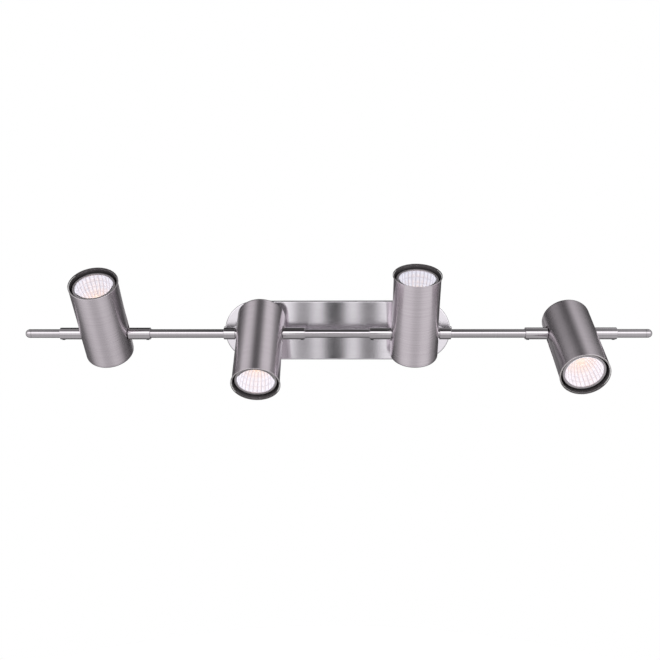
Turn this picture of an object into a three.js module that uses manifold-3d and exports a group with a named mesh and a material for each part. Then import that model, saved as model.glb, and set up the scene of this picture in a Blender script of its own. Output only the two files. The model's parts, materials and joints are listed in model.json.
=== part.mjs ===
// A wall-mounted track light: a long stadium canopy, a round rail held in front of it on two posts,
// and four spot heads that turn about the rail. Millimetres, +Z up, the front faces -Y.
// The origin is on the wall plane, at the middle of the mounting strap.

import * as THREE from 'three';
import { mergeVertices } from 'three/addons/utils/BufferGeometryUtils.js';
import Module from 'manifold-3d';

const wasm = await Module();
wasm.setup();

// ---------- Driving dimensions ----------

const GAP = 0.3;                        // between pieces that touch
const PAST = 1;                         // how far a cutter runs past the face that it opens
const SIDES_LARGE = 24;                 // facets round a shell or a sleeve
const SIDES_LAMP = 16;                  // round the lamp and its holder
const SIDES_ROD = 16;                   // round the rail, the collars and the posts
const SIDES_SMALL = 8;                  // round screws, pins and their holes

const CANOPY_LENGTH = 288;
const CANOPY_HEIGHT = 75;
const CANOPY_DEPTH = 25;
const CANOPY_WALL = 1.2;
const CANOPY_EDGE = 1.6;                // rounding of the front edge

const RAIL_Y = -82;                     // rail axis in front of the wall
const RAIL_HALF = 380;                  // middle to the tip of an end cap
const RAIL_R = 5.25;
const RAIL_BORE_R = 4.05;
const CAP_LENGTH = 8;                   // the part of an end cap that shows
const CAP_PLUG = 12;                    // the part of an end cap inside the rail

const HEAD_SPACING = 188;
const AIM_DEG = [50.5, -43.5, 62, -32]; // above the horizontal, from the left head to the right

const SHELL_R = 29;
const SHELL_WALL = 0.8;
const SHELL_FRONT = 80;                 // pivot to rim
const SHELL_BACK = -32;                 // pivot to closed back
const SHELL_EDGE = 3;                   // rounding of the closed back
const RIM_BAND = 1.2;                   // the ring that joins the shell's two halves at the rim
const SLOT_HALF = 15.6;                 // the side slot, from the collar to the rim band
const SLOT_ARCH = 33;                   // where the slot starts to narrow, from the pivot
const SLOT_HOLE_R = 9;                  // round the collar

const SLEEVE_R = SHELL_R - SHELL_WALL - GAP;
const SLEEVE_WALL = 0.8;
const SLEEVE_FRONT = SHELL_FRONT - 1;
const SLEEVE_BACK = -15;
const SLEEVE_HOLE_R = 5.7;

const BUSH_R = 6.6;
const BUSH_BORE_R = 5.55;
const BUSH_HALF = 25.9;
const WIRE_HOLE_R = 2.4;

const BRACKET_HALF = 23;                // outside of its ears
const BRACKET_SHEET = 1.2;
const BRACKET_WIDTH = 15;
const BRACKET_WEB = 11;                 // pivot to the web's rail side
const BRACKET_HOLE_R = 4;               // for the wires, in the web

const HOLDER_R = 13;
const HOLDER_BACK = BRACKET_WEB + BRACKET_SHEET + GAP;
const HOLDER_FRONT = 25.7;
const HOLDER_EDGE = 1.5;
const HOLDER_WIRE_R = 1.6;
const PIN_OFFSET = 5;                   // a lamp pin from the axis
const PIN_R = 2.3;
const PIN_NECK_R = 1.6;
const PIN_LENGTH = 5;
const PIN_WELL = PIN_LENGTH + 1;         // depth of the hole that a pin goes in
const PIN_HEAD = 2;                     // length of a pin's thick end

const LAMP_R = 25;
const LAMP_FACE = SHELL_FRONT - 4.5;
const LAMP_NECK = 43;                   // where the reflector ends and its base starts
const LAMP_NECK_R = 10;
const LAMP_WALL = 1.4;
const LAMP_RING = 3;                    // width of the ring round the cover glass
const LAMP_RING_DEPTH = 2;
const GLASS_THICK = 1.2;
const BASE_STEP = 1;                    // the base's narrower middle and its rounded back

const COLLAR_R = 7.2;
const COLLAR_BORE_R = RAIL_R + 0.2;
const COLLAR_IN = SLEEVE_R + 0.5;       // from the head's middle
const COLLAR_OUT = 55;
const COLLAR_EDGE = 0.5;
const SET_SCREW_INSET = 3.6;            // from the collar's free end
const SET_SCREW_R = 1.8;
const SET_SCREW_HOLE_R = 2.05;
const SET_SCREW_PROUD = 0.6;
const SET_SCREW_SOCKET = 0.7;           // half the width of its square socket

const POST_X = 130.6;
const POST_R = 4.8;
const POST_THREAD_R = 3.6;              // its shoulder rests on the canopy's face
const POST_BORE_R = 2.5;
const POST_END = -14;                   // threaded end, inside the canopy
const KNUCKLE_HALF = 7;
const NUT_R = 6.8;
const NUT_THICK = 4;

const STRAP_SHEET = 1.6;
const STRAP_WIDTH = 24;
const STRAP_HALF = 141;
const STRAP_NECK = 125;                 // where the strap starts to narrow
const TAB_WIDTH = 12;
const TAB_DEPTH = 16;
const BOX_SLOT_X = 44.45;               // half of the 88.9 mm between the screws of a wall box
const BOX_SLOT_R = 2.6;
const BOX_SLOT_RUN = 8;
const SIDE_SCREW_Y = -9;
const SIDE_SCREW_R = 2;
const SIDE_SCREW_HEAD = { radius: 4.2, thick: 3.2 };
const SIDE_SCREW_REACH = 8;             // into the canopy, from the seat of its head
const DRIVER_SLOT = { width: 1, depth: 1 };

const BLOCK = { width: 32, depth: 12, height: 16, pitch: 10 };
const BLOCK_WAY_R = 2;                  // the hole that a wire goes in through
const BLOCK_WELL = { radius: 1.9, depth: 3, offset: 4 };
const BLOCK_GROOVE = { width: 1.2, depth: 2.5 };
const GROUND_X = 27;
const GROUND_HEAD = { radius: 3.6, thick: 2.2 };
const LEAD_R = 1.4;
const LEAD_Y = -5.5;                    // clear of the strap and of the nuts
const LEAD_STEPS = 22;

const HEAD_X = [-1.5, -0.5, 0.5, 1.5].map((step) => step * HEAD_SPACING);
const OUTER_HEAD_X = HEAD_X[3];
const INNER_HEAD_X = HEAD_X[2];
const SIDES = [['left', -1], ['right', 1]];

// ---------- Materials ----------

function finish(color, roughness, metalness) {
  return new THREE.MeshStandardMaterial({ color, roughness, metalness });
}

const NICKEL = finish(0xb9b4b6, 0.34, 1);
const CANOPY_NICKEL = finish(0xd2cecf, 0.36, 1);
const SLEEVE_METAL = finish(0x9a9699, 0.4, 1);
const ZINC = finish(0xc3c4c2, 0.45, 1);
const BLACK_STEEL = finish(0x2c2b2d, 0.5, 0.8);
const GROUND_GREEN = finish(0x2f7d46, 0.45, 0.6);
const CERAMIC = finish(0xf1ede4, 0.5, 0);
const REFLECTOR = finish(0xf4eef0, 0.12, 0.6);
const LAMP_GLASS = finish(0xffffff, 0.05, 0);
const WHITE_PLASTIC = finish(0xe9e7e1, 0.5, 0);
const LEAD_SLEEVE = finish(0xdcd8cf, 0.6, 0);
const BUSH_METAL = finish(0xa98f5c, 0.4, 1);

// ---------- Shapes ----------

// The closed solid inside a geometry, with shared corners merged and empty triangles dropped.
function solidOf(geometry) {
  geometry.deleteAttribute('normal');
  geometry.deleteAttribute('uv');
  const merged = mergeVertices(geometry, 1e-4);
  const corners = merged.index.array;
  const kept = [];
  for (let i = 0; i < corners.length; i += 3) {
    const [a, b, c] = corners.subarray(i, i + 3);
    if (a !== b && b !== c && c !== a) kept.push(a, b, c);
  }
  return new wasm.Manifold(new wasm.Mesh({
    numProp: 3,
    vertProperties: merged.attributes.position.array,
    triVerts: new Uint32Array(kept),
  }));
}

function geometryOf(solid) {
  const { vertProperties, triVerts } = solid.getMesh();
  const geometry = new THREE.BufferGeometry();
  geometry.setAttribute('position', new THREE.BufferAttribute(vertProperties, 3));
  geometry.setIndex(new THREE.BufferAttribute(triVerts, 1));
  geometry.computeVertexNormals();
  return geometry;
}

// A turned piece about Z. The outline is [radius, height] pairs, up the outside and down the inside.
function turned(outline, segments = SIDES_LARGE) {
  const points = outline.map(([radius, height]) => new THREE.Vector2(radius, height));
  return solidOf(new THREE.LatheGeometry(points, segments).rotateX(Math.PI / 2));
}

// Points on a circle, from one angle to another, in degrees.
function arc(centreX, centreY, radius, from, to, steps) {
  return Array.from({ length: steps + 1 }, (_, i) => {
    const angle = THREE.MathUtils.degToRad(from + (to - from) * i / steps);
    return [centreX + radius * Math.cos(angle), centreY + radius * Math.sin(angle)];
  });
}

// A round rod along an axis, from low to high on it, moved sideways to the given point.
function rod(axis, radius, low, high, at = [0, 0, 0], segments = SIDES_ROD) {
  const geometry = new THREE.CylinderGeometry(radius, radius, high - low, segments);
  geometry.rotateX(Math.PI / 2).translate(0, 0, (low + high) / 2);
  if (axis === 'x') geometry.rotateY(Math.PI / 2);
  if (axis === 'y') geometry.rotateX(-Math.PI / 2);
  return solidOf(geometry.translate(...at));
}

function box(low, high) {
  const size = high.map((value, i) => value - low[i]);
  const middle = high.map((value, i) => (value + low[i]) / 2);
  return solidOf(new THREE.BoxGeometry(...size).translate(...middle));
}

// A flat outline in X and Z, made solid from y = back towards -Y.
function plate(shape, back, thickness, options = {}) {
  const settings = { depth: thickness, bevelEnabled: false, curveSegments: 10, ...options };
  const turn = new THREE.Matrix4().makeBasis(
    new THREE.Vector3(1, 0, 0), new THREE.Vector3(0, 0, 1), new THREE.Vector3(0, -1, 0));
  return solidOf(new THREE.ExtrudeGeometry(shape, settings).applyMatrix4(turn).translate(0, back, 0));
}

// A flat outline in Y and Z, made solid along X on both sides of the middle.
function crossPlate(shape, halfLength) {
  const turn = new THREE.Matrix4().makeBasis(
    new THREE.Vector3(0, 1, 0), new THREE.Vector3(0, 0, 1), new THREE.Vector3(1, 0, 0));
  const settings = { depth: 2 * halfLength, bevelEnabled: false, curveSegments: 10 };
  return solidOf(new THREE.ExtrudeGeometry(shape, settings).applyMatrix4(turn).translate(-halfLength, 0, 0));
}

function stadium(length, height) {
  const radius = height / 2;
  const reach = length / 2 - radius;
  const shape = new THREE.Shape();
  shape.moveTo(-reach, -radius);
  shape.lineTo(reach, -radius);
  shape.absarc(reach, 0, radius, -Math.PI / 2, Math.PI / 2, false);
  shape.lineTo(-reach, radius);
  shape.absarc(-reach, 0, radius, Math.PI / 2, 3 * Math.PI / 2, false);
  return shape;
}

// A round tube filled solid along a path of points.
function wire(points, radius, steps) {
  const through = points.map((point) => new THREE.Vector3(...point));
  const path = new THREE.CatmullRomCurve3(through, false, 'chordal');
  const section = new THREE.Shape();
  section.absarc(0, 0, radius, 0, 2 * Math.PI, false);
  return solidOf(new THREE.ExtrudeGeometry(section, { steps, curveSegments: 3, extrudePath: path }));
}

const fixture = new THREE.Group();

function add(parent, name, solid, material) {
  const mesh = new THREE.Mesh(geometryOf(solid), material);
  mesh.name = name;
  parent.add(mesh);
}

// ---------- Wall side ----------

// One skin of the canopy: a stadium with a rounded front edge, cut off at the wall.
function canopySkin(inset) {
  const edge = CANOPY_EDGE - inset / 2;
  const bevel = {
    bevelEnabled: true, bevelThickness: edge, bevelSize: edge, bevelOffset: -edge, bevelSegments: 2,
  };
  const outline = stadium(CANOPY_LENGTH - 2 * inset, CANOPY_HEIGHT - 2 * inset);
  return plate(outline, 0, CANOPY_DEPTH - inset - edge, bevel);
}

function canopy() {
  const behindWall = box([-CANOPY_LENGTH, 0, -CANOPY_HEIGHT], [CANOPY_LENGTH, CANOPY_DEPTH, CANOPY_HEIGHT]);
  let pan = canopySkin(0).subtract(behindWall).subtract(canopySkin(CANOPY_WALL));
  for (const [, side] of SIDES) {
    pan = pan.subtract(rod('y', POST_THREAD_R + GAP, -CANOPY_DEPTH - PAST, POST_END, [side * POST_X, 0, 0]));
    const end = [side * CANOPY_LENGTH / 2, SIDE_SCREW_Y, 0];
    pan = pan.subtract(rod('x', SIDE_SCREW_R + GAP, -CANOPY_WALL - PAST, CANOPY_WALL + PAST, end));
  }
  return pan;
}

function mountingStrap() {
  const half = STRAP_WIDTH / 2;
  const tab = TAB_WIDTH / 2;
  const outline = new THREE.Shape([
    [-STRAP_HALF, -tab], [-STRAP_NECK, -half], [STRAP_NECK, -half], [STRAP_HALF, -tab],
    [STRAP_HALF, tab], [STRAP_NECK, half], [-STRAP_NECK, half], [-STRAP_HALF, tab],
  ].map(([x, z]) => new THREE.Vector2(x, z)));
  let strap = plate(outline, 0, STRAP_SHEET);
  for (const [, side] of SIDES) {
    const inner = STRAP_HALF - STRAP_SHEET;
    const [low, high] = side < 0 ? [-STRAP_HALF, -inner] : [inner, STRAP_HALF];
    strap = strap.add(box([low, -TAB_DEPTH, -tab], [high, 0, tab]));
    strap = strap.subtract(rod('x', SIDE_SCREW_R + GAP, low - PAST, high + PAST, [0, SIDE_SCREW_Y, 0]));
    const slot = plate(stadium(BOX_SLOT_RUN + 2 * BOX_SLOT_R, 2 * BOX_SLOT_R), PAST, STRAP_SHEET + 2 * PAST,
      { curveSegments: 5 });
    strap = strap.subtract(slot.translate([side * BOX_SLOT_X, 0, 0]));
  }
  return strap.subtract(rod('y', SIDE_SCREW_R + GAP, -STRAP_SHEET - PAST, PAST, [GROUND_X, 0, 0]));
}

// A pan-head screw along -Y with a straight driver slot. The head stands on y = seat.
function groundScrew() {
  const seat = -STRAP_SHEET - GAP;
  const top = seat - GROUND_HEAD.thick;
  const screw = rod('y', GROUND_HEAD.radius, top, seat, [GROUND_X, 0, 0])
    .add(rod('y', SIDE_SCREW_R, seat - PAST, -GAP, [GROUND_X, 0, 0], SIDES_SMALL));
  const reach = GROUND_HEAD.radius + PAST;
  const half = DRIVER_SLOT.width / 2;
  const slot = box([GROUND_X - reach, top - PAST, -half], [GROUND_X + reach, top + DRIVER_SLOT.depth, half]);
  return screw.subtract(slot);
}

// A three-way screw terminal block standing on the strap.
function terminalBlock() {
  const back = -STRAP_SHEET - GAP;
  const front = back - BLOCK.depth;
  const middle = (front + back) / 2;
  let block = box([-BLOCK.width / 2, front, -BLOCK.height / 2], [BLOCK.width / 2, back, BLOCK.height / 2]);
  for (const step of [-1, 0, 1]) {
    const x = step * BLOCK.pitch;
    block = block.subtract(rod('z', BLOCK_WAY_R, -BLOCK.height, BLOCK.height, [x, middle, 0], SIDES_SMALL));
    for (const z of [-BLOCK_WELL.offset, BLOCK_WELL.offset]) {
      const bottom = front + BLOCK_WELL.depth;
      block = block.subtract(rod('y', BLOCK_WELL.radius, front - PAST, bottom, [x, 0, z], SIDES_SMALL));
    }
  }
  for (const side of [-1, 1]) {
    const x = side * BLOCK.pitch / 2;
    const half = BLOCK_GROOVE.width / 2;
    const bottom = front + BLOCK_GROOVE.depth;
    block = block.subtract(box([x - half, front - PAST, -BLOCK.height], [x + half, bottom, BLOCK.height]));
  }
  return block;
}

// A knurled thumb screw through the canopy's end into the strap's tab. It is made for the right end.
function canopyScrew() {
  const seat = CANOPY_LENGTH / 2 + GAP;
  const top = seat + SIDE_SCREW_HEAD.thick;
  const head = rod('x', SIDE_SCREW_HEAD.radius, seat, top, [0, SIDE_SCREW_Y, 0]);
  const low = seat - SIDE_SCREW_REACH;
  const shank = rod('x', SIDE_SCREW_R, low, seat + PAST, [0, SIDE_SCREW_Y, 0], SIDES_SMALL);
  const reach = SIDE_SCREW_HEAD.radius + PAST;
  const half = DRIVER_SLOT.width / 2;
  const bottom = top - DRIVER_SLOT.depth;
  const slot = box([bottom, SIDE_SCREW_Y - reach, -half], [top + PAST, SIDE_SCREW_Y + reach, half]);
  return head.add(shank).subtract(slot);
}

// ---------- Rail ----------

// A post with its knuckle round the rail, its shoulder on the canopy and its threaded end inside.
function post(x) {
  const face = -CANOPY_DEPTH - GAP;
  const [low, high] = [x - KNUCKLE_HALF, x + KNUCKLE_HALF];
  return rod('x', COLLAR_R, low, high, [0, RAIL_Y, 0])
    .add(rod('y', POST_R, RAIL_Y + RAIL_R, face, [x, 0, 0]))
    .add(rod('y', POST_THREAD_R, face - PAST, POST_END, [x, 0, 0]))
    .subtract(rod('x', COLLAR_BORE_R, low - PAST, high + PAST, [0, RAIL_Y, 0]))
    .subtract(rod('y', POST_BORE_R, RAIL_Y, 0, [x, 0, 0], SIDES_SMALL));
}

function postNut(x) {
  const seat = -CANOPY_DEPTH + CANOPY_WALL + GAP;
  return rod('y', NUT_R, seat, seat + NUT_THICK, [x, 0, 0], 6)
    .subtract(rod('y', POST_THREAD_R + GAP, seat - PAST, seat + NUT_THICK + PAST, [x, 0, 0]));
}

// The rail, with a wire hole at the front inside each head and one at the back at each post.
function railTube() {
  const half = RAIL_HALF - CAP_LENGTH;
  let tube = rod('x', RAIL_R, -half, half, [0, RAIL_Y, 0])
    .subtract(rod('x', RAIL_BORE_R, -half - PAST, half + PAST, [0, RAIL_Y, 0]));
  const reach = RAIL_R + PAST;
  for (const x of HEAD_X) {
    tube = tube.subtract(rod('y', WIRE_HOLE_R, RAIL_Y - reach, RAIL_Y, [x, 0, 0], SIDES_SMALL));
  }
  for (const [, side] of SIDES) {
    tube = tube.subtract(rod('y', WIRE_HOLE_R, RAIL_Y, RAIL_Y + reach, [side * POST_X, 0, 0], SIDES_SMALL));
  }
  return tube;
}

// A domed cap with a plug that fills the rail's open end. It is made for the right end.
function endCap() {
  const start = RAIL_HALF - CAP_LENGTH + GAP;
  const dome = arc(0, RAIL_HALF - RAIL_R, RAIL_R, 0, 90, 4);
  const plugR = RAIL_BORE_R - 0.2;
  const plug = [[0, start - CAP_PLUG], [plugR, start - CAP_PLUG], [plugR, start]];
  const outline = [...plug, [RAIL_R, start], ...dome];
  outline[outline.length - 1] = [0, RAIL_HALF];
  return turned(outline, SIDES_ROD).rotate([0, 90, 0]).translate([0, RAIL_Y, 0]);
}

// A collar on one side of a head, with a tapped hole below for its set screw.
function collar(headX, side) {
  const wall = [
    [COLLAR_BORE_R, COLLAR_IN], [COLLAR_R, COLLAR_IN], [COLLAR_R, COLLAR_OUT - COLLAR_EDGE],
    [COLLAR_R - COLLAR_EDGE, COLLAR_OUT], [COLLAR_BORE_R, COLLAR_OUT], [COLLAR_BORE_R, COLLAR_IN],
  ];
  const at = [COLLAR_OUT - SET_SCREW_INSET, 0, 0];
  const hole = rod('z', SET_SCREW_HOLE_R, -COLLAR_R - PAST, -COLLAR_BORE_R + PAST, at, SIDES_SMALL);
  return turned(wall, SIDES_ROD).rotate([0, 90, 0]).subtract(hole)
    .rotate([0, 0, side < 0 ? 180 : 0]).translate([headX, RAIL_Y, 0]);
}

// A set screw with a square socket. Its outer end stands a little proud of the collar.
function setScrew(headX, side) {
  const x = COLLAR_OUT - SET_SCREW_INSET;
  const low = -COLLAR_R - SET_SCREW_PROUD;
  const screw = rod('z', SET_SCREW_R, low, -RAIL_R - GAP / 2, [x, 0, 0], SIDES_SMALL);
  const half = SET_SCREW_SOCKET;
  const socket = box([x - half, -half, low - PAST], [x + half, half, low + PAST]);
  return screw.subtract(socket).rotate([0, 0, side < 0 ? 180 : 0]).translate([headX, RAIL_Y, 0]);
}

// The supply lead of one half: terminal block, post, rail, and along the rail to both heads.
function lead(side) {
  const start = BLOCK.width / 2 + GAP;
  const down = [
    [start, LEAD_Y, 0], [60, LEAD_Y, 0], [116, LEAD_Y, 0], [126, LEAD_Y - 0.8, 0],
    [POST_X - 0.6, LEAD_Y - 4.5, 0], [POST_X, POST_END - 2, 0],
    [POST_X, -30, 0], [POST_X, -60, 0], [POST_X, RAIL_Y, 0],
  ];
  const placed = down.map(([x, y, z]) => [side * x, y, z]);
  const inRail = rod('x', LEAD_R, INNER_HEAD_X, OUTER_HEAD_X, [0, RAIL_Y, 0], 6);
  const along = side < 0 ? inRail.mirror([1, 0, 0]) : inRail;
  return wire(placed, LEAD_R, LEAD_STEPS).add(along);
}

// ---------- Head ----------
// Each head is made about its own pivot: X along the rail and +Z the way the lamp shines.

// The side opening: an arch that runs to the rim band, and a round hole where the collar passes.
function sideSlot() {
  const end = SHELL_FRONT - RIM_BAND;
  const reach = SHELL_R + PAST;
  const shape = new THREE.Shape();
  shape.moveTo(-SLOT_HALF, end);
  shape.lineTo(-SLOT_HALF, SLOT_ARCH);
  shape.absellipse(0, SLOT_ARCH, SLOT_HALF, SLOT_ARCH, Math.PI, 2 * Math.PI, false);
  shape.lineTo(SLOT_HALF, end);
  return crossPlate(shape, reach).add(rod('x', SLOT_HOLE_R, -reach, reach));
}

// The outer shell: a cup with a closed, rounded back and a long opening on each side.
function shell() {
  const inner = SHELL_R - SHELL_WALL;
  const edge = SHELL_BACK + SHELL_EDGE;
  const cup = turned([
    [0, SHELL_BACK],
    ...arc(SHELL_R - SHELL_EDGE, edge, SHELL_EDGE, -90, 0, 3),
    [SHELL_R, SHELL_FRONT],
    [inner, SHELL_FRONT],
    ...arc(SHELL_R - SHELL_EDGE, edge, SHELL_EDGE - SHELL_WALL, 0, -90, 2),
    [0, SHELL_BACK + SHELL_WALL],
  ]);
  return cup.subtract(sideSlot());
}

// The inner sleeve that shows through the slots, pierced by the rail.
function innerSleeve() {
  const inner = SLEEVE_R - SLEEVE_WALL;
  const tube = turned([
    [SLEEVE_R, SLEEVE_BACK], [SLEEVE_R, SLEEVE_FRONT], [inner, SLEEVE_FRONT], [inner, SLEEVE_BACK],
    [SLEEVE_R, SLEEVE_BACK],
  ]);
  return tube.subtract(rod('x', SLEEVE_HOLE_R, -SHELL_R, SHELL_R));
}

// The bush that turns on the rail, with a hole towards the lamp for the wires.
function pivotBush() {
  return rod('x', BUSH_R, -BUSH_HALF, BUSH_HALF)
    .subtract(rod('x', BUSH_BORE_R, -BUSH_HALF - PAST, BUSH_HALF + PAST))
    .subtract(rod('z', WIRE_HOLE_R, 0, BUSH_R + PAST, [0, 0, 0], SIDES_SMALL));
}

// A bent bracket: two ears on the bush and a web that carries the lamp holder.
function pivotBracket() {
  const half = BRACKET_WIDTH / 2;
  const top = BRACKET_WEB + BRACKET_SHEET;
  const inner = BRACKET_HALF - BRACKET_SHEET;
  return box([-BRACKET_HALF, -half, -BRACKET_WEB], [BRACKET_HALF, half, top])
    .subtract(box([-inner, -half - PAST, -BRACKET_WEB - PAST], [inner, half + PAST, BRACKET_WEB]))
    .subtract(rod('x', BUSH_R + GAP, -BRACKET_HALF - PAST, BRACKET_HALF + PAST))
    .subtract(rod('z', BRACKET_HOLE_R, 0, top + PAST, [0, 0, 0], SIDES_SMALL));
}

// The ceramic lamp holder, with a keyhole well for each lamp pin.
function lampHolder() {
  const past = HOLDER_FRONT + PAST;
  let holder = turned([
    [0, HOLDER_BACK], [HOLDER_R, HOLDER_BACK], [HOLDER_R, HOLDER_FRONT - HOLDER_EDGE],
    [HOLDER_R - HOLDER_EDGE, HOLDER_FRONT], [0, HOLDER_FRONT],
  ], SIDES_LAMP);
  for (const [, side] of SIDES) {
    const at = [side * PIN_OFFSET, 0, 0];
    holder = holder.subtract(rod('z', PIN_R + 2 * GAP, HOLDER_FRONT - PIN_WELL, past, at, SIDES_SMALL));
  }
  return holder.subtract(rod('z', HOLDER_WIRE_R, 0, past, [0, 0, 0], SIDES_SMALL));
}

// The lamp's ceramic base with its two headed pins.
function lampBase() {
  const back = HOLDER_FRONT + GAP;
  const front = LAMP_NECK - GAP;
  const narrow = LAMP_NECK_R - BASE_STEP / 2;
  let base = turned([
    [0, back], [narrow - BASE_STEP, back], [narrow, back + BASE_STEP], [narrow, front - BASE_STEP],
    [LAMP_NECK_R, front], [0, front],
  ], SIDES_LAMP);
  const tip = back - PIN_LENGTH;
  for (const [, side] of SIDES) {
    const at = [side * PIN_OFFSET, 0, 0];
    base = base.add(rod('z', PIN_NECK_R, tip, back + BASE_STEP, at, SIDES_SMALL));
    base = base.add(rod('z', PIN_R, tip, tip + PIN_HEAD, at, SIDES_SMALL));
  }
  return base;
}

// The reflector bowl: half an ellipse from the neck to the mouth, with a flat ring round the cover glass.
function lampReflector() {
  const mouth = LAMP_FACE - LAMP_RING_DEPTH;
  const mouthR = LAMP_R - LAMP_RING + LAMP_WALL;
  const bowl = (grow, steps) => Array.from({ length: steps + 1 }, (_, i) => {
    const angle = i / steps * Math.PI / 2;
    const radius = LAMP_NECK_R + (mouthR - LAMP_NECK_R) * Math.sin(angle) - grow;
    return [radius, LAMP_NECK + (mouth - LAMP_NECK) * (1 - Math.cos(angle))];
  });
  const outside = bowl(0, 4);
  const inside = bowl(LAMP_WALL, 4).reverse();
  return turned([
    ...outside,
    [LAMP_R, mouth],
    [LAMP_R, LAMP_FACE],
    [LAMP_R - LAMP_RING, LAMP_FACE],
    ...inside,
    outside[0],
  ], SIDES_LAMP);
}

function lampGlass() {
  const radius = LAMP_R - LAMP_RING - GAP;
  const back = LAMP_FACE - GLASS_THICK;
  return turned([[0, back], [radius, back], [radius, LAMP_FACE], [0, LAMP_FACE]], SIDES_LAMP);
}

const HEAD_PIECES = [
  ['shell', shell(), NICKEL],
  ['inner_sleeve', innerSleeve(), SLEEVE_METAL],
  ['pivot_bush', pivotBush(), BUSH_METAL],
  ['pivot_bracket', pivotBracket(), ZINC],
  ['lamp_holder', lampHolder(), CERAMIC],
  ['lamp_base', lampBase(), CERAMIC],
  ['lamp_reflector', lampReflector(), REFLECTOR],
  ['lamp_glass', lampGlass(), LAMP_GLASS],
];

// ---------- Assembly ----------

add(fixture, 'canopy', canopy(), CANOPY_NICKEL);
add(fixture, 'mounting_strap', mountingStrap(), ZINC);
add(fixture, 'ground_screw', groundScrew(), GROUND_GREEN);
add(fixture, 'terminal_block', terminalBlock(), WHITE_PLASTIC);
add(fixture, 'rail_tube', railTube(), NICKEL);

for (const [name, side] of SIDES) {
  const facing = side < 0 ? [0, 0, 180] : [0, 0, 0];
  const screwPlace = side < 0 ? [0, 2 * SIDE_SCREW_Y, 0] : [0, 0, 0];
  const capPlace = side < 0 ? [0, 2 * RAIL_Y, 0] : [0, 0, 0];
  add(fixture, `canopy_screw_${name}`, canopyScrew().rotate(facing).translate(screwPlace), NICKEL);
  add(fixture, `end_cap_${name}`, endCap().rotate(facing).translate(capPlace), NICKEL);
  add(fixture, `post_${name}`, post(side * POST_X), NICKEL);
  add(fixture, `post_nut_${name}`, postNut(side * POST_X), ZINC);
  add(fixture, `supply_lead_${name}`, lead(side), LEAD_SLEEVE);
}

HEAD_X.forEach((x, index) => {
  const label = `head_${index + 1}`;
  for (const [name, side] of SIDES) {
    // The posts' knuckles take the place of the outer collars of the two middle heads.
    const towardsPost = Math.abs(x) < POST_X && side * x > 0;
    if (towardsPost) continue;
    add(fixture, `${label}_collar_${name}`, collar(x, side), NICKEL);
    add(fixture, `${label}_set_screw_${name}`, setScrew(x, side), BLACK_STEEL);
  }
  const head = new THREE.Group();
  head.position.set(x, RAIL_Y, 0);
  head.rotation.x = THREE.MathUtils.degToRad(90 - AIM_DEG[index]);
  for (const [piece, solid, material] of HEAD_PIECES) {
    add(head, `${label}_${piece}`, solid, material);
  }
  fixture.add(head);
});

export default fixture;
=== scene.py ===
"""A wall track light with four spot heads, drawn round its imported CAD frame.

Sizes are in millimetres until a piece is made, and +Z is up. The pieces of a head are drawn about
the head's own pivot, with X along the rail and +Z the way the lamp shines.
"""
import json
import math

import bmesh
import bpy
from mathutils import Matrix, Vector


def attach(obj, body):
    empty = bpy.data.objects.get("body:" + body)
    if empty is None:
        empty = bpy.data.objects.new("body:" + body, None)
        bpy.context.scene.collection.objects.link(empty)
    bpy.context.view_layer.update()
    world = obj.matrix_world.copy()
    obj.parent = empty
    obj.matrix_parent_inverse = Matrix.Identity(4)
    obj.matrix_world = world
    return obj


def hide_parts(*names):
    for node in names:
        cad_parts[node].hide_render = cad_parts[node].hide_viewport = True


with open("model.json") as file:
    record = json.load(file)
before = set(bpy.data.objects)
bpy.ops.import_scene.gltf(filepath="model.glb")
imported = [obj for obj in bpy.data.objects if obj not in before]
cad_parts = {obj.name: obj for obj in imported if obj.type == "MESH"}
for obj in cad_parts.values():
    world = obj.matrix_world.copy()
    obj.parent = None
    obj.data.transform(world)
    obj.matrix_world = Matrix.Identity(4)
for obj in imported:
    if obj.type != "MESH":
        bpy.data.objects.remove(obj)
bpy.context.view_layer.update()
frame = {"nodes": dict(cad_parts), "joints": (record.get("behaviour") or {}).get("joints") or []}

# ---------- Driving dimensions ----------

MM = 0.001
SIDES = (("left", -1), ("right", 1))

CANOPY_LENGTH = 288
CANOPY_HEIGHT = 75
CANOPY_DEPTH = 25
CANOPY_WALL = 1.2
CANOPY_EDGE = 1.6

RAIL_Y = -82
RAIL_HALF = 380
RAIL_R = 5.25
RAIL_BORE_R = 4.05
CAP_LENGTH = 8
CAP_PLUG = 12
WIRE_HOLE_R = 2.4

SHELL_R = 29
SHELL_WALL = 0.8
SHELL_FRONT = 80
SHELL_BACK = -32
SHELL_EDGE = 3
RIM_BAND = 1.2
RIM_ROUND = 0.25
SLOT_HALF = 15.6
SLOT_ARCH = 33
SLOT_HOLE_R = 9
SLOT_CORNER = 1.2

SLEEVE_R = 27.9
SLEEVE_WALL = 0.8
SLEEVE_FRONT = 79
SLEEVE_BACK = -15
SLEEVE_HOLE_R = 5.7

BUSH_R = 6.6
BUSH_BORE_R = 5.55
BUSH_HALF = 25.9

BRACKET_HALF = 23
BRACKET_SHEET = 1.2
BRACKET_WIDTH = 15
BRACKET_WEB = 11
BRACKET_HOLE_R = 4

HOLDER_R = 13
HOLDER_BACK = 12.5
HOLDER_FRONT = 25.7
HOLDER_WIRE_R = 1.6
PIN_OFFSET = 5
PIN_R = 2.3
PIN_WELL = 6

LAMP_R = 25
LAMP_FACE = 75.5
LAMP_NECK = 43
LAMP_NECK_R = 10
LAMP_WALL = 1.4
LAMP_RING = 3
LAMP_RING_DEPTH = 2
GLASS_R = LAMP_R - LAMP_RING - 0.3
GLASS_THICK = 1.2
FACET_SECTORS = 28
FACET_RINGS = 6
FACET_DEPTH = 0.55

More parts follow.
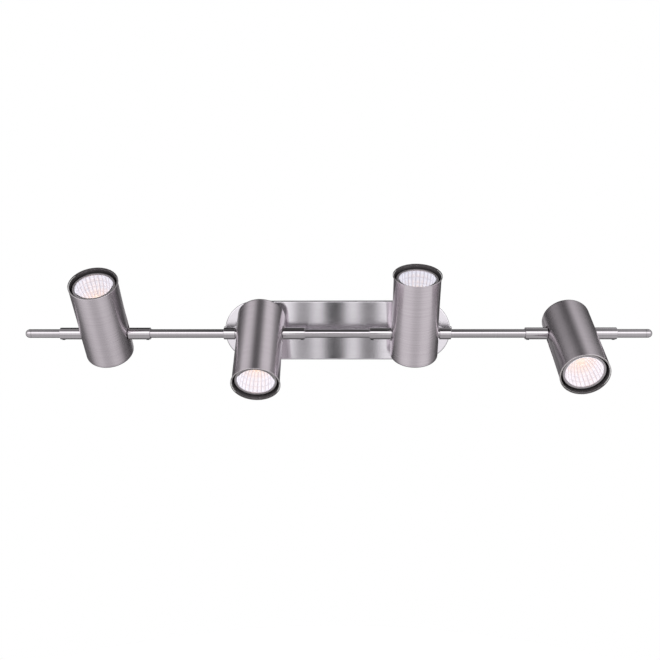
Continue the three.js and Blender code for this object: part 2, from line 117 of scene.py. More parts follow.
COLLAR_R = 7.2
COLLAR_BORE_R = 5.45
COLLAR_IN = 28.4
COLLAR_OUT = 55
SET_SCREW_X = COLLAR_OUT - 3.6
SET_SCREW_R = 1.8
SET_SCREW_PROUD = 0.6
SET_SCREW_HOLE_R = 2.05

POST_X = 130.6
POST_R = 4.8
POST_THREAD_R = 3.6
POST_BORE_R = 2.5
POST_END = -14
KNUCKLE_HALF = 7
NUT_R = 6.8
NUT_THICK = 4

STRAP_SHEET = 1.6
SIDE_SCREW_Y = -9
SIDE_SCREW_R = 2
GROUND_X = 27
BLOCK_WIDTH = 32
BLOCK_DEPTH = 12
BLOCK_HEIGHT = 16
BLOCK_PITCH = 10
LEAD_R = 1.4
LEAD_Y = -5.5
GAP = 0.3
PAST = 1              # how far a cut runs past the surface it goes through
MERGE = 1e-6          # in metres: points closer than this become one


# ---------- Camera ----------

CAMERA_LENS = 47.3
CAMERA_PLACE = (0.0075, RAIL_Y * MM - 1.05, 0.0734)
CAMERA_TURNS = (90 - 3.77, 0.08, 0.88)


def make_camera():
    """A camera in front of the rail, a little above it and looking slightly down."""
    camera = bpy.data.objects.new("camera", bpy.data.cameras.new("camera"))
    camera.data.sensor_width = 36
    camera.data.lens = CAMERA_LENS
    camera.location = CAMERA_PLACE
    camera.rotation_euler = [math.radians(turn) for turn in CAMERA_TURNS]
    camera.data.clip_start = 0.01
    bpy.context.scene.collection.objects.link(camera)
    bpy.context.scene.camera = camera


# ---------- Mesh tools ----------
# A shape is a pair: its points, in millimetres, and its faces as tuples of point numbers.

def grid(rows, wrap_across=False, wrap_along=False):
    """A sheet of quads through rows of points."""
    width = len(rows[0])
    points = [Vector(point) for row in rows for point in row]
    faces = []
    for i in range(len(rows) if wrap_along else len(rows) - 1):
        below = i * width
        above = (i + 1) % len(rows) * width
        for k in range(width if wrap_across else width - 1):
            after = (k + 1) % width
            faces.append((below + k, below + after, above + after, above + k))
    return points, faces


def joined(*shapes):
    points, faces = [], []
    for more_points, more_faces in shapes:
        start = len(points)
        points += more_points
        faces += [tuple(start + i for i in face) for face in more_faces]
    return points, faces


def moved(shape, matrix):
    return [matrix @ point for point in shape[0]], shape[1]


def arc(across, along, radius, start, end, steps):
    """Points on a circle about (across, along), from one angle to another in degrees."""
    angles = [math.radians(start + (end - start) * i / steps) for i in range(steps + 1)]
    return [(across + radius * math.cos(a), along + radius * math.sin(a)) for a in angles]


def spread(start, end, steps):
    """Even steps from start up to, but not including, end."""
    return [start + (end - start) * i / steps for i in range(steps)]


def circle(steps, radius=1):
    """Points round a circle about the middle."""
    return [(radius * math.cos(a), radius * math.sin(a)) for a in spread(0, 2 * math.pi, steps)]


def rounded(corners, steps=4):
    """A closed outline from (across, along, radius) corners, each turned into an arc of that radius."""
    outline = []
    for i, (across, along, radius) in enumerate(corners):
        here = Vector((across, along))
        if radius == 0:
            outline.append((across, along))
            continue
        before = (Vector(corners[i - 1][:2]) - here).normalized()
        after = (Vector(corners[(i + 1) % len(corners)][:2]) - here).normalized()
        half = before.angle(after) / 2
        middle = here + (before + after).normalized() * radius / math.sin(half)
        first = here + before * radius / math.tan(half) - middle
        last = here + after * radius / math.tan(half) - middle
        turn = first.angle_signed(last)
        for step in range(steps + 1):
            spoke = Matrix.Rotation(-turn * step / steps, 2) @ first
            outline.append(tuple(middle + spoke))
    return outline


def turned(profile, sides=64, closed=False):
    """A piece turned about Z from (radius, height) points. It ends on the axis, or closes on itself."""
    rows = [[(x, y, height) for x, y in circle(sides, radius)] for radius, height in profile]
    return grid(rows, wrap_across=True, wrap_along=closed)


def round_ends(radius, low, high, edge, steps):
    """The (radius, height) profile of a rod with rounded ends, from axis to axis."""
    profile = [(0, low)] + arc(radius - edge, low + edge, edge, -90, 0, steps)
    return profile + arc(radius - edge, high - edge, edge, 0, 90, steps) + [(0, high)]


def capped(outline, low, high, edge, steps=3):
    """A prism along Z of a convex outline about the axis, with its end edges rounded."""
    reach = max(math.hypot(*point) for point in outline)
    rows = []
    for radius, height in round_ends(reach, low, high, edge, steps):
        share = radius / reach
        rows.append([(across * share, along * share, height) for across, along in outline])
    return grid(rows, wrap_across=True)


def block(low, high, edge, steps=2):
    """A box with rounded upright edges and rounded ends."""
    centre = [(a + b) / 2 for a, b in zip(low, high)]
    half = [(b - a) / 2 for a, b in zip(low, high)]
    signs = ((1, 1), (-1, 1), (-1, -1), (1, -1))
    corners = [(across * half[0], along * half[1], edge) for across, along in signs]
    outline = rounded(corners, steps)
    return moved(capped(outline, -half[2], half[2], edge, steps), Matrix.Translation(centre))


def ring_tube(outer, inner, low, high, edge=0.3, sides=48, steps=3):
    """A round tube about Z with rounded ends."""
    corners = [(inner, low, edge), (outer, low, edge), (outer, high, edge), (inner, high, edge)]
    return turned(rounded(corners, steps), sides, closed=True)


def rod(radius, low, high, edge=0.3, sides=48, steps=3):
    """A round rod about Z with rounded ends."""
    return turned(round_ends(radius, low, high, edge, steps), sides)


def pierced(outer, inner, half_width, columns=48, band=0):
    """A tube wall about Z from two matched lists of (radius, height), open along +X and -X where half_width
    is not 0. The last rows, as many as band, go all the way round. It gives the outside, the inside, and the
    cut edges with the two ends."""
    last = len(outer) - band
    across = 16

    def start_angle(radius, height):
        return math.asin(min(1, half_width(height) / radius)) if radius > 0 else 0

    def wall(profile, mirror):
        rows = []
        for radius, height in profile[:last + 1]:
            start = start_angle(radius, height)
            angles = [start + (math.pi - 2 * start) * k / columns for k in range(columns + 1)]
            rows.append([(radius * math.cos(a), mirror * radius * math.sin(a), height) for a in angles])
        return rows

    def whole_rings(profile):
        start = start_angle(*profile[last])
        angles = spread(start, math.pi - start, columns) + spread(math.pi - start, math.pi + start, across)
        angles += [a + math.pi for a in angles]
        return [[(r * math.cos(a), r * math.sin(a), height) for a in angles] for r, height in profile[last:]]

    outside, inside, edges = [], [], []
    for mirror in (1, -1):
        outer_rows, inner_rows = wall(outer, mirror), wall(inner, mirror)
        outside.append(grid(outer_rows))
        inside.append(grid(inner_rows))
        ends = [0] if band else [0, -1]
        for end in ends:
            if outer[end][0] > 0:
                edges.append(grid([outer_rows[end], inner_rows[end]]))
        for i in range(len(outer_rows) - 1):
            if half_width(outer[i][1]) > 0 or half_width(outer[i + 1][1]) > 0:
                for column in (0, columns):
                    edges.append(grid([
                        [outer_rows[i][column], outer_rows[i + 1][column]],
                        [inner_rows[i][column], inner_rows[i + 1][column]],
                    ]))
    if band:
        outer_rings, inner_rings = whole_rings(outer), whole_rings(inner)
        outside.append(grid(outer_rings, wrap_across=True))
        inside.append(grid(inner_rings, wrap_across=True))
        edges.append(grid([outer_rings[-1], inner_rings[-1]], wrap_across=True))
        count = len(outer_rings[0])
        for first in (columns, 2 * columns + across):
            picked = [(first + k) % count for k in range(across + 1)]
            edges.append(grid([[outer_rings[0][k] for k in picked], [inner_rings[0][k] for k in picked]]))
    return joined(*outside), joined(*inside), joined(*edges)


def swept(path, radius, sides=12):
    """A round tube filled solid along a path of points, with flat ends."""
    path = [Vector(point) for point in path]
    rows = []
    side = Vector((0, 0, 1))
    for i, point in enumerate(path):
        ahead = (path[min(i + 1, len(path) - 1)] - path[max(i - 1, 0)]).normalized()
        side = (side - ahead * side.dot(ahead)).normalized()
        other = ahead.cross(side)
        rows.append([point + (side * x + other * y) * radius for x, y in circle(sides)])
    rows.insert(0, [path[0]] * sides)
    rows.append([path[-1]] * sides)
    return grid(rows, wrap_across=True)


def smooth_path(points, steps=8):
    """A Catmull-Rom curve through the points."""
    points = [Vector(point) for point in points]
    ends = [2 * points[0] - points[1], *points, 2 * points[-1] - points[-2]]
    path = []
    for i in range(1, len(ends) - 2):
        a, b, c, d = ends[i - 1:i + 3]
        for step in range(steps):
            t = step / steps
            path.append(0.5 * (2 * b + (c - a) * t + (2 * a - 5 * b + 4 * c - d) * t ** 2
                               + (3 * b - a - 3 * c + d) * t ** 3))
    return path + [points[-1]]


ALONG_X = Matrix.Rotation(math.radians(90), 4, "Y")
ALONG_Y = Matrix.Rotation(math.radians(-90), 4, "X")
NO_MOVE = Matrix.Identity(4)


def shift(x, y, z):
    return Matrix.Translation((x, y, z))


def mesh_of(name, parts):
    """One mesh from (shape, material) parts, with its faces turned outwards."""
    mesh = bpy.data.meshes.new(name)
    made = bmesh.new()
    for number, ((points, faces), material) in enumerate(parts):
        mesh.materials.append(material)
        corners = [made.verts.new(point * MM) for point in points]
        for face in faces:
            new_face = made.faces.new([corners[i] for i in face])
            new_face.material_index = number
            new_face.smooth = True
    bmesh.ops.remove_doubles(made, verts=made.verts, dist=MERGE)
    bmesh.ops.recalc_face_normals(made, faces=made.faces)
    made.to_mesh(mesh)
    made.free()
    return mesh


def drill(radius, low, high, place=NO_MOVE, sides=32):
    """The shape of a round hole about Z."""
    return moved(turned([(0, low), (radius, low), (radius, high), (0, high)], sides), place)


def cut(parts, holes):
    """Cuts holes out of the (shape, material) parts of one closed solid. The holes' walls take the first
    material."""
    meshes = (mesh_of("solid", parts), mesh_of("holes", [(joined(*holes), parts[0][1])]))
    solid, tool = (bpy.data.objects.new(mesh.name, mesh) for mesh in meshes)
    for obj in (solid, tool):
        bpy.context.scene.collection.objects.link(obj)
    step = solid.modifiers.new("cut", "BOOLEAN")
    step.operation = "DIFFERENCE"
    step.solver = "EXACT"
    step.object = tool
    result = solid.evaluated_get(bpy.context.evaluated_depsgraph_get()).to_mesh()
    points = [vertex.co / MM for vertex in result.vertices]
    groups = [[] for _ in parts]
    for face in result.polygons:
        groups[face.material_index].append(tuple(face.vertices))
    for mesh in meshes:
        bpy.data.meshes.remove(mesh)
    return [((points, faces), material) for faces, (_, material) in zip(groups, parts)]


def round_edges(obj, width):
    """Rounds an object's sharp edges by a width in millimetres."""
    rounding = obj.modifiers.new("edges", "BEVEL")
    rounding.width = width * MM
    rounding.segments = 2
    rounding.limit_method = "ANGLE"
    rounding.angle_limit = math.radians(50)
    return rounding


def piece(node, parts, place=NO_MOVE, body="fixture", extra="", sharp=40, bevel=0):
    """Makes one object from (shape, material) parts and stands it in for its CAD node, if it has one."""
    mesh = mesh_of(node, parts)
    mesh.set_sharp_from_angle(angle=math.radians(sharp))
    obj = bpy.data.objects.new("fine_" + node + extra, mesh)
    bpy.context.scene.collection.objects.link(obj)
    obj.matrix_world = place
    if bevel:
        round_edges(obj, bevel).harden_normals = True
    else:
        weights = obj.modifiers.new("normals", "WEIGHTED_NORMAL")
        weights.keep_sharp = True
    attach(obj, body)
    if not extra:
        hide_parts(node)
    return obj


# ---------- Materials ----------

class Nodes:
    """A node tree, with short ways to add and join its nodes. A value is a number, a colour or a socket."""

    def __init__(self, tree):
        self.tree = tree

    def give(self, socket, value):
        if isinstance(value, bpy.types.NodeSocket):
            self.tree.links.new(value, socket)
        else:
            socket.default_value = value

    def node(self, kind, inputs=(), **settings):
        made = self.tree.nodes.new("ShaderNode" + kind)
        for label, value in settings.items():
            setattr(made, label, value)
        for label, value in dict(inputs).items():
            self.give(made.inputs[label], value)
        return made

    def place(self, kind="Object"):
        """Object gives a point in its piece's own coordinates. Generated gives a direction, in a world."""
        return self.node("TexCoord").outputs[kind]

    def axes(self, place):
        """A point's or direction's X, Y and Z, by name."""
        return self.node("SeparateXYZ", {0: place}).outputs

    def math(self, operation, *values):
        return self.node("Math", dict(enumerate(values)), operation=operation).outputs[0]

    def span(self, value, low, high, start=0.3, end=0.7, **settings):
        """Turns a value from start to end into one from low to high."""
        inputs = {"Value": value, "From Min": start, "From Max": end, "To Min": low, "To Max": high}
        return self.node("MapRange", inputs, **settings).outputs["Result"]

    def mixed(self, share, first, last, **settings):
        """Mixes two colours. The node's colour form has them as inputs 6 and 7, and gives output 2."""
        made = self.node("Mix", {0: share, 6: first, 7: last}, data_type="RGBA", **settings)
        return made.outputs[2]


class Finish(Nodes):
    """A material whose shader is set through its nodes."""

    def __init__(self, name, **settings):
        self.material = bpy.data.materials.new(name)
        self.material.use_nodes = True
        super().__init__(self.material.node_tree)
        self.shader = self.tree.nodes["Principled BSDF"]
        for label, value in settings.items():
            self.shader.inputs[label.replace("_", " ")].default_value = value

    def set(self, label, value):
        self.give(self.shader.inputs[label], value)

    def noise(self, scale, detail):
        """Even noise in the piece's own coordinates."""
        return self.stretched((1, 1, 1), scale, detail)

    def stretched(self, stretch, scale, detail):
        """Noise in the piece's own coordinates, drawn out along the small numbers of stretch."""
        drawn = self.node("Mapping", {"Vector": self.place(), "Scale": stretch}).outputs["Vector"]
        noise = self.node("TexNoise", {"Vector": drawn, "Scale": scale, "Detail": detail})
        return noise.outputs["Fac"]

    def tints(self, value, first, last):
        return self.mixed(value, (*first, 1), (*last, 1))

    def shaded(self, colour, amount, shade):
        """Multiplies a colour by the shade where the amount is 1."""
        return self.mixed(amount, colour, (*shade, 1), blend_type="MULTIPLY")

    def near_whole(self, value, reach):
        """1 where the value is a whole number, falling to 0 at reach from one."""
        return self.span(self.math("PINGPONG", value, 0.5), 1, 0, 0, reach)

    def facet_line_shade(self, place):
        """The lines between the reflector's facets, spokes round Z and rings up the bowl, where the mirror's
        glow is given painted shade.
        """
        spoke_width, ring_width, ring_share = 0.22, 0.12, 0.6
        split = self.axes(place)
        turn = self.math("DIVIDE", self.math("ARCTAN2", split["Y"], split["X"]), 2 * math.pi)
        spokes = self.near_whole(self.math("MULTIPLY", turn, FACET_SECTORS), spoke_width)
        depth = (LAMP_FACE - LAMP_RING_DEPTH - LAMP_NECK) * MM
        climb = self.math("DIVIDE", self.math("SUBTRACT", split["Z"], LAMP_NECK * MM), depth)
        share = self.math("DIVIDE", self.math("ARCCOSINE", self.math("SUBTRACT", 1, climb)), math.pi / 2)
        rings = self.near_whole(self.math("MULTIPLY", share, FACET_RINGS), ring_width)
        return self.math("MAXIMUM", spokes, self.math("MULTIPLY", rings, ring_share))

    def bump(self, height, strength, depth):
        raised = self.node("Bump", {"Height": height, "Strength": strength, "Distance": depth})
        self.set("Normal", raised.outputs["Normal"])


def brushed(name, dark, light, axis, across, roughness, vary, anisotropy, depth, quarter_turn=0.25):
    """Plated metal with fine brush lines. across is small along the lines and large across them."""
    finish = Finish(name, Metallic=1.0, Anisotropic=anisotropy, Anisotropic_Rotation=quarter_turn)
    fine = finish.stretched(across, 1, 1)
    broad = finish.stretched(across, 0.35, 1)
    cloud = finish.noise(14, 2)
    finish.set("Base Color", finish.tints(finish.span(broad, 0, 1), dark, light))
    uneven = finish.math("ADD", fine, cloud)
    finish.set("Roughness", finish.span(uneven, roughness - vary, roughness + vary, 0.6, 1.4))
    finish.bump(fine, 0.5, depth)
    tangent = finish.node("Tangent", direction_type="RADIAL", axis=axis)
    finish.set("Tangent", tangent.outputs["Tangent"])
    return finish.material


def mottled(finish, dark, light, roughness, vary, grain, detail, cloud_grain, strength, depth):
    """Clouds of two tints, with fine changes in the roughness and a fine relief."""
    fine = finish.noise(grain, detail)
    cloud = finish.noise(cloud_grain, 3)
    finish.set("Base Color", finish.tints(finish.span(cloud, 0, 1), dark, light))
    finish.set("Roughness", finish.span(fine, roughness - vary, roughness + vary))
    finish.bump(fine, strength, depth)
    return finish.material


def smooth_metal(name, dark, light, roughness, vary, metallic=1.0, depth=4e-6):
    finish = Finish(name, Metallic=metallic)
    return mottled(finish, dark, light, roughness, vary, 900, 3, 30, 0.4, depth)


def matt_solid(name, dark, light, roughness, vary, depth=2e-5):
    return mottled(Finish(name), dark, light, roughness, vary, 700, 5, 60, 0.5, depth)


def painted_glow_mirror():
    """The dichroic reflector: a white mirror with a painted glow for the light it reflects. The glow is warm
    near the burner as a painted reflection of it, and darker along its facet lines as painted shade.
    """
    finish = Finish("lamp_mirror", Metallic=0.9, Emission_Strength=0.62)
    place = finish.place()
    depth = finish.span(finish.axes(place)["Z"], 0, 1, (LAMP_NECK + 2) * MM, (LAMP_NECK + 14) * MM)
    cloud = finish.noise(120, 2)
    finish.set("Base Color", finish.tints(finish.span(cloud, 0, 1), (0.46, 0.42, 0.45), (0.52, 0.49, 0.52)))
    # Painted glow: warm near the burner as a painted reflection of it, cool white further out, with painted
    # shade along the facet lines.
    painted_glow = finish.tints(depth, (1.0, 0.78, 0.64), (0.89, 0.93, 1.0))
    finish.set("Emission Color", finish.shaded(painted_glow, finish.facet_line_shade(place), (0.4, 0.37, 0.41)))
    finish.set("Roughness", finish.span(finish.noise(1500, 2), 0.2, 0.28))
    return finish.material


def burner_glow():
    """The frosted burner capsule, lit with a warm light."""
    finish = Finish("burner_glow", Emission_Strength=0.52, Roughness=0.4)
    cloud = finish.noise(200, 2)
    finish.set("Base Color", finish.tints(cloud, (0.7, 0.6, 0.52), (0.78, 0.7, 0.62)))
    finish.set("Emission Color", finish.tints(finish.span(cloud, 0, 1), (1.0, 0.58, 0.4), (1.0, 0.76, 0.62)))
    return finish.material


def clear_glass():
    finish = Finish("lamp_glass", Transmission_Weight=1.0, IOR=1.46)
    fine = finish.noise(500, 2)
    finish.set("Roughness", finish.span(fine, 0.0, 0.03))
    finish.set("Base Color", finish.tints(fine, (0.98, 0.99, 1.0), (1, 1, 1)))
    return finish.material


def braided_sleeve():
    """Glass-fibre sleeving: two sets of fine threads that cross."""
    finish = Finish("lead_sleeve", Roughness=0.7)
    threads = []
    for slope in (1, -1):
        rotation = (0, 0.7 * slope, 0.7 * slope)
        drawn = finish.node("Mapping", {"Vector": finish.place(), "Rotation": rotation}).outputs["Vector"]
        wave = finish.node("TexWave", {"Vector": drawn, "Scale": 420, "Distortion": 0.4})
        threads.append(wave.outputs["Fac"])
    weave = finish.math("MULTIPLY", *threads)
    finish.set("Base Color", finish.tints(weave, (0.66, 0.63, 0.56), (0.86, 0.84, 0.78)))
    finish.bump(weave, 0.6, 8e-5)
    return finish.material


AROUND_Z = (30, 30, 2400)
AROUND_X = (1500, 40, 40)
LENGTHWISE = (60, 3000, 3000)
# Heads, rail and canopy are one satin nickel. Its colour is set lighter on the heads and darker on the rail,
# caps, collars, posts and canopy screws: painted light and painted shade.
HEAD_NICKEL = brushed("head_nickel", (0.65, 0.59, 0.635), (0.70, 0.64, 0.685), "Z", AROUND_Z,
                      0.25, 0.03, 0.75, 3e-6)
SLEEVE_METAL = brushed("sleeve_metal", (0.48, 0.435, 0.47), (0.55, 0.505, 0.54), "Z", AROUND_Z,
                       0.3, 0.05, 0.75, 3e-6)
RAIL_NICKEL = brushed("rail_nickel", (0.49, 0.46, 0.485), (0.53, 0.50, 0.525), "X", AROUND_X,
                      0.09, 0.02, 0.2, 4e-7)
CANOPY_NICKEL = brushed("canopy_nickel", (0.65, 0.62, 0.66), (0.68, 0.65, 0.69), "X", LENGTHWISE,
                        0.1, 0.02, 0.95, 4e-7, quarter_turn=0.0)
CUT_EDGE = smooth_metal("cut_edge", (0.78, 0.75, 0.74), (0.86, 0.83, 0.82), 0.2, 0.04)
# A dark finish for the inside of the shell and sleeve, which also stands in for the shade inside the head:
# painted shade.
INNER_DARK_AND_SHADE = smooth_metal("inner_dark", (0.075, 0.068, 0.072), (0.11, 0.1, 0.105), 0.42, 0.06, metallic=0.6)
ZINC = smooth_metal("zinc_steel", (0.62, 0.63, 0.62), (0.74, 0.75, 0.73), 0.4, 0.08, metallic=0.45)
# Black steel for the set screws. The same material makes the dark blocks that stand in as painted shade for
# the screw slots.
BLACK_STEEL_AND_SLOT_SHADE = smooth_metal("black_steel", (0.035, 0.035, 0.04), (0.07, 0.07, 0.075), 0.42, 0.08, metallic=0.8)
GROUND_GREEN = smooth_metal("ground_green", (0.03, 0.24, 0.09), (0.06, 0.34, 0.14), 0.38, 0.06, metallic=0.5)
BRASS = smooth_metal("bush_brass", (0.58, 0.45, 0.22), (0.72, 0.58, 0.32), 0.3, 0.06)
CERAMIC = matt_solid("lamp_ceramic", (0.80, 0.78, 0.72), (0.9, 0.88, 0.83), 0.55, 0.08)
HOLDER_CERAMIC = matt_solid("holder_ceramic", (0.82, 0.80, 0.75), (0.92, 0.90, 0.86), 0.6, 0.08)
WHITE_PLASTIC = matt_solid("white_plastic", (0.82, 0.81, 0.78), (0.88, 0.87, 0.84), 0.42, 0.05, depth=8e-6)
CANOPY_INSIDE = smooth_metal("canopy_inside", (0.38, 0.37, 0.38), (0.46, 0.45, 0.46), 0.55, 0.08,
                             metallic=0.45)
PIN_NICKEL = smooth_metal("pin_nickel", (0.62, 0.6, 0.58), (0.72, 0.7, 0.68), 0.25, 0.05)
LAMP_EDGE = smooth_metal("lamp_edge", (0.36, 0.33, 0.35), (0.42, 0.39, 0.41), 0.3, 0.04,
                         depth=1e-6, metallic=0.8)
MIRROR = painted_glow_mirror()
GLOW = burner_glow()
GLASS = clear_glass()
LEAD_SLEEVE = braided_sleeve()


# ---------- Head ----------

def slot_half_width(height):
    """Half the width of the shell's side opening: a round hole at the collar that runs into an arch."""
    hole = math.sqrt(max(0, SLOT_HOLE_R ** 2 - height ** 2))
    climb = (SLOT_ARCH - min(max(height, 0), SLOT_ARCH)) / SLOT_ARCH
    arch = SLOT_HALF * math.sqrt(1 - climb ** 2)
    width = (hole ** 6 + arch ** 6) ** (1 / 6)
    past = min(height - (SHELL_FRONT - RIM_BAND - SLOT_CORNER), SLOT_CORNER)
    if past > 0:
        width -= SLOT_CORNER - math.sqrt(SLOT_CORNER ** 2 - past ** 2)
    return width


def shell_parts():
    """A cup with a closed, rounded back, and an opening on each side from the collar to the rim."""
    inner_r = SHELL_R - SHELL_WALL
    slot_end = SHELL_FRONT - RIM_BAND
    hole = [-SLOT_HOLE_R * math.cos(math.radians(a)) for a in spread(0, 90, 12)]
    heights = [
        *spread(SHELL_BACK + SHELL_EDGE, -SLOT_HOLE_R, 8), *hole, *spread(0, SLOT_HOLE_R, 10),
        *spread(SLOT_HOLE_R, SLOT_ARCH, 12), *spread(SLOT_ARCH, slot_end - SLOT_CORNER, 12),
        *spread(slot_end - SLOT_CORNER, slot_end, 5), slot_end, SHELL_FRONT - RIM_ROUND,
    ]
    turn = SHELL_R - SHELL_EDGE
    seat = SHELL_BACK + SHELL_EDGE
    disc = [(radius, SHELL_BACK) for radius in spread(0, turn, 6)]
    outer = disc + arc(turn, seat, SHELL_EDGE, -90, 0, 6)[:-1] + [(SHELL_R, z) for z in heights]
    outer += arc(SHELL_R - RIM_ROUND, SHELL_FRONT - RIM_ROUND, RIM_ROUND, 0, 90, 3)[1:]
    inner = [(radius, SHELL_BACK + SHELL_WALL) for radius, _ in disc]
    inner += arc(turn, seat, SHELL_EDGE - SHELL_WALL, -90, 0, 6)[:-1] + [(inner_r, z) for z in heights]
    inner += arc(inner_r + RIM_ROUND, SHELL_FRONT - RIM_ROUND, RIM_ROUND, 180, 90, 3)[1:]
    outside, inside, edges = pierced(outer, inner, slot_half_width, band=5)
    return [(outside, HEAD_NICKEL), (inside, INNER_DARK_AND_SHADE), (edges, CUT_EDGE)]


def sleeve_hole(height):
    return math.sqrt(max(0, SLEEVE_HOLE_R ** 2 - height ** 2))


def sleeve_parts():
    """The inner tube that shows through the shell's openings, pierced by the rail."""
    inner_r = SLEEVE_R - SLEEVE_WALL
    hole = [-SLEEVE_HOLE_R * math.cos(math.radians(a)) for a in spread(0, 180, 20)]
    low, high = SLEEVE_BACK + RIM_ROUND, SLEEVE_FRONT - RIM_ROUND
    heights = [*spread(low, -SLEEVE_HOLE_R, 3), *hole, *spread(SLEEVE_HOLE_R, high, 16)]
    outer = arc(SLEEVE_R - RIM_ROUND, low, RIM_ROUND, -90, 0, 3)[:-1] + [(SLEEVE_R, z) for z in heights]
    outer += arc(SLEEVE_R - RIM_ROUND, high, RIM_ROUND, 0, 90, 3)
    inner = arc(inner_r + RIM_ROUND, low, RIM_ROUND, 270, 180, 3)[:-1] + [(inner_r, z) for z in heights]
    inner += arc(inner_r + RIM_ROUND, high, RIM_ROUND, 180, 90, 3)
    outside, inside, edges = pierced(outer, inner, sleeve_hole)
    return [(outside, SLEEVE_METAL), (inside, INNER_DARK_AND_SHADE), (edges, CUT_EDGE)]


def bush_parts():
    """The bush that turns on the rail, with a hole for the wires towards the lamp."""
    tube = moved(ring_tube(BUSH_R, BUSH_BORE_R, -BUSH_HALF, BUSH_HALF, 0.3), ALONG_X)
    return cut([(tube, BRASS)], [drill(WIRE_HOLE_R, 0, BUSH_R + PAST)])


def bracket_parts():
    """Two ears on the bush and a web that carries the lamp holder, bent from one strip."""
    outer = [(BRACKET_HALF, -BRACKET_WEB, 0.3), (BRACKET_HALF, BRACKET_WEB + BRACKET_SHEET, 2.2),
             (-BRACKET_HALF, BRACKET_WEB + BRACKET_SHEET, 2.2), (-BRACKET_HALF, -BRACKET_WEB, 0.3)]
    thin = BRACKET_HALF - BRACKET_SHEET
    inner = [(-thin, -BRACKET_WEB, 0.3), (-thin, BRACKET_WEB, 1.0),
             (thin, BRACKET_WEB, 1.0), (thin, -BRACKET_WEB, 0.3)]
    outline = rounded(outer + inner)
    half = BRACKET_WIDTH / 2
    rows = [[(across, y, along) for across, along in outline] for y in (-half, -half / 3, half / 3, half)]
    count = len(outline) // 2
    ends = []
    for row in (rows[0], rows[-1]):
        ends.append(grid([row[:count], row[count:][::-1]]))
    strip = joined(grid(rows, wrap_across=True), *ends)
    reach = BRACKET_HALF + PAST
    holes = [drill(BUSH_R + GAP, -reach, reach, ALONG_X, 48),
             drill(BRACKET_HOLE_R, BRACKET_WEB - PAST, BRACKET_WEB + BRACKET_SHEET + PAST)]
    return cut([(strip, ZINC)], holes)


def holder_parts():
    """The ceramic lamp holder: a stepped drum with a well for each lamp pin and a wire hole through it."""
    corners = [
        (0, HOLDER_BACK, 0), (HOLDER_R - 2, HOLDER_BACK, 0.8), (HOLDER_R - 2, HOLDER_BACK + 3, 0.3),
        (HOLDER_R, HOLDER_BACK + 3.4, 0.5), (HOLDER_R, HOLDER_FRONT - 4, 0.3),
        (HOLDER_R - 0.8, HOLDER_FRONT - 3.6, 0.2), (HOLDER_R - 0.8, HOLDER_FRONT, 0.9), (0, HOLDER_FRONT, 0),
    ]
    past = HOLDER_FRONT + PAST
    holes = [drill(HOLDER_WIRE_R, HOLDER_BACK - PAST, past)]
    for _, side in SIDES:
        place = shift(side * PIN_OFFSET, 0, 0)
        holes.append(drill(PIN_R + 2 * GAP, HOLDER_FRONT - PIN_WELL, past, place))
    return cut([(turned(rounded(corners), 72), HOLDER_CERAMIC)], holes)


def base_parts():
    """The lamp's ribbed ceramic base with its two headed pins."""
    back, front = HOLDER_FRONT + GAP, LAMP_NECK - GAP
    corners = [
        (0, back, 0), (LAMP_NECK_R - 1.5, back, 0.5), (LAMP_NECK_R - 0.5, back + 1, 0.4),
        (LAMP_NECK_R - 0.5, front - 5, 0.4), (LAMP_NECK_R - 1, front - 4.6, 0.2),
        (LAMP_NECK_R - 1, front - 3, 0.2), (LAMP_NECK_R, front - 2.4, 0.4), (LAMP_NECK_R, front, 0.4),
        (0, front, 0),
    ]
    parts = [(turned(rounded(corners), 72), CERAMIC)]
    shank_r = PIN_R - 0.7
    corners = [
        (0, back - 5, 0), (PIN_R, back - 5, 0.4), (PIN_R, back - 3, 0.4), (shank_r, back - 3, 0.2),
        (shank_r, back + 0.5, 0), (0, back + 0.5, 0),
    ]
    pin = turned(rounded(corners), 32)
    pins = [moved(pin, shift(side * PIN_OFFSET, 0, 0)) for _, side in SIDES]
    return parts + [(joined(*pins), PIN_NICKEL)]


def bowl(share, grow=0):
    """A point of the reflector's half ellipse, from the neck at 0 to the lamp's edge at 1."""
    depth = LAMP_FACE - LAMP_RING_DEPTH - LAMP_NECK
    mouth = LAMP_R - LAMP_RING + LAMP_WALL
    radius = LAMP_NECK_R + (mouth - LAMP_NECK_R) * math.sin(share * math.pi / 2) ** 0.9
    return radius - grow, LAMP_NECK + depth * (1 - math.cos(share * math.pi / 2))


